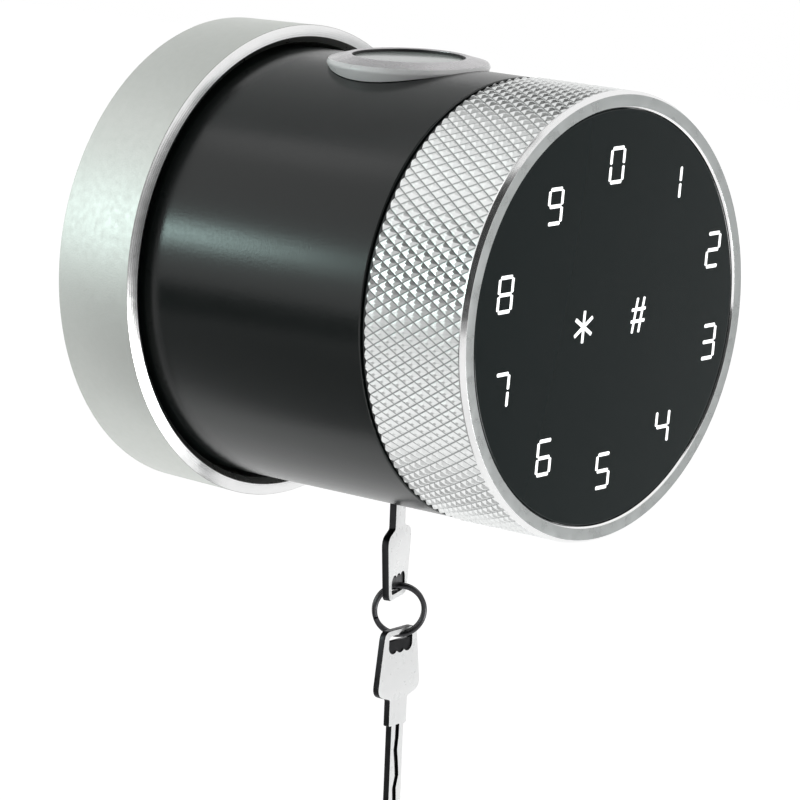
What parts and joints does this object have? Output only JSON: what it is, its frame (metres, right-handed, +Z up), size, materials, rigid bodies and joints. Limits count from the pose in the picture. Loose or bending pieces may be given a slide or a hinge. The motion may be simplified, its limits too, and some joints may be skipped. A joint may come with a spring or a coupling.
{
  "type": "fingerprint door lock",
  "caption": "Round knob lock on a wall rose: black barrel, fingerprint reader on top, knurled turning head with a glass touch keypad, key cylinder underneath with keys on a ring",
  "frame": {"origin": "centre of the back of the rose, on the door face and on the knob's axis", "axes": "+Y into the door along the knob's axis, -Y out of the front glass, +Z up with the reader on top, +X to the right seen from the front"},
  "size_m": [0.0794, 0.083, 0.1333],
  "materials": {
    "rose_cover": "sandblasted satin with a bright turned edge",
    "door_gasket": "soft black foam rubber",
    "mounting_plate": "zinc plated steel",
    "plate_screws": "zinc plated",
    "barrel": "black fine-textured satin coating",
    "hub_bridge": "stamped steel",
    "guide_rods": "ground steel",
    "front_bulkhead": "turned aluminium",
    "head_bush": "sintered bronze",
    "return_spring": "spring steel",
    "control_board": "green circuit board",
    "clutch_motor": "plated motor can",
    "fork_spring": "spring steel",
    "sensor_bezel": "satin turned aluminium",
    "sensor_window": "pale coated reader window",
    "sensor_module": "black module",
    "sensor_nut": "turned brass",
    "cylinder_housing": "black anodised",
    "cylinder_nut": "turned brass",
    "knurled_ring": "bright diamond knurl and a flat turned rim",
    "glass_panel": "black touch glass with lit digits",
    "touch_board": "green circuit board",
    "panel_carrier": "moulded black plastic",
    "drive_shaft": "turned steel",
    "shaft_screws": "zinc plated",
    "shaft_circlip": "spring steel",
    "output_hub": "turned steel",
    "clutch_collar": "turned steel",
    "clutch_fork": "stamped steel",
    "motor_screw": "turned steel",
    "cylinder_plug": "nickel plated brass",
    "key_cam": "plain steel",
    "cam_clip": "spring steel",
    "inserted_key": "nickel plated",
    "key_ring": "dark nickel plated steel wire",
    "spare_key": "nickel plated"
  },
  "bodies": {
    "lock_body": {"rose_cover": "rose_cover", "door_gasket": "door_gasket", "mounting_plate": "mounting_plate", "plate_screws": "plate_screws", "barrel": "barrel", "hub_bridge": "hub_bridge", "guide_rods": "guide_rods", "front_bulkhead": "front_bulkhead", "head_bush": "head_bush", "return_spring": "return_spring", "control_board": "control_board", "clutch_motor": "clutch_motor", "fork_spring": "fork_spring", "sensor_bezel": "sensor_bezel", "sensor_window": "sensor_window", "sensor_module": "sensor_module", "sensor_nut": "sensor_nut", "cylinder_housing": "cylinder_housing", "cylinder_nut": "cylinder_nut"},
    "head": {"knurled_ring": "knurled_ring", "glass_panel": "glass_panel", "touch_board": "touch_board", "panel_carrier": "panel_carrier", "drive_shaft": "drive_shaft", "shaft_screws": "shaft_screws", "shaft_circlip": "shaft_circlip"},
    "output_hub": {"output_hub": "output_hub"},
    "clutch_collar": {"clutch_collar": "clutch_collar"},
    "clutch_fork": {"clutch_fork": "clutch_fork"},
    "motor_screw": {"motor_screw": "motor_screw"},
    "key_plug": {"cylinder_plug": "cylinder_plug", "key_cam": "key_cam", "cam_clip": "cam_clip", "inserted_key": "inserted_key"},
    "key_ring": {"key_ring": "key_ring"},
    "spare_key": {"spare_key": "spare_key"}
  },
  "joints": [
    {"name": "head_turn", "type": "hinge", "parent": "lock_body", "child": "head", "pos_m": [0, 0, 0], "axis": [0, 1, 0], "range_deg": [-70, 70], "stiffness_Nm_per_rad": 0.12},
    {"name": "hub_turn", "type": "hinge", "parent": "lock_body", "child": "output_hub", "pos_m": [0, 0, 0], "axis": [0, 1, 0], "range_deg": [-70.5, 70.5]},
    {"name": "key_turn", "type": "hinge", "parent": "lock_body", "child": "key_plug", "pos_m": [0, -0.0414, 0], "axis": [0, 0, 1], "range_deg": [0, 90]},
    {"name": "fork_slide", "type": "slide", "parent": "lock_body", "child": "clutch_fork", "axis": [0, 1, 0], "range_m": [0, 0.003], "deforming": ["fork_spring"]},
    {"name": "collar_slide", "type": "slide", "parent": "head", "child": "clutch_collar", "axis": [0, 1, 0], "range_m": [0, 0.003]},
    {"name": "screw_turn", "type": "hinge", "parent": "lock_body", "child": "motor_screw", "pos_m": [0.02, 0, 0], "axis": [0, 1, 0], "continuous": true},
    {"name": "ring_swing", "type": "hinge", "parent": "key_plug", "child": "key_ring", "pos_m": [0.00148, -0.04134, -0.0514], "axis": [0.7071, -0.7071, 0], "range_deg": [-25, 25]},
    {"name": "spare_key_swing", "type": "hinge", "parent": "key_ring", "child": "spare_key", "pos_m": [0.00148, -0.04134, -0.0597], "axis": [0.7071, -0.7071, 0], "range_deg": [-25, 25]}
  ],
  "couplings": [
    {"joint": "hub_turn", "follows": "head_turn", "ratio": 1},
    {"joint": "key_turn", "follows": "fork_slide", "rad_per_m": 523.5},
    {"joint": "collar_slide", "follows": "fork_slide", "ratio": 1}
  ]
}
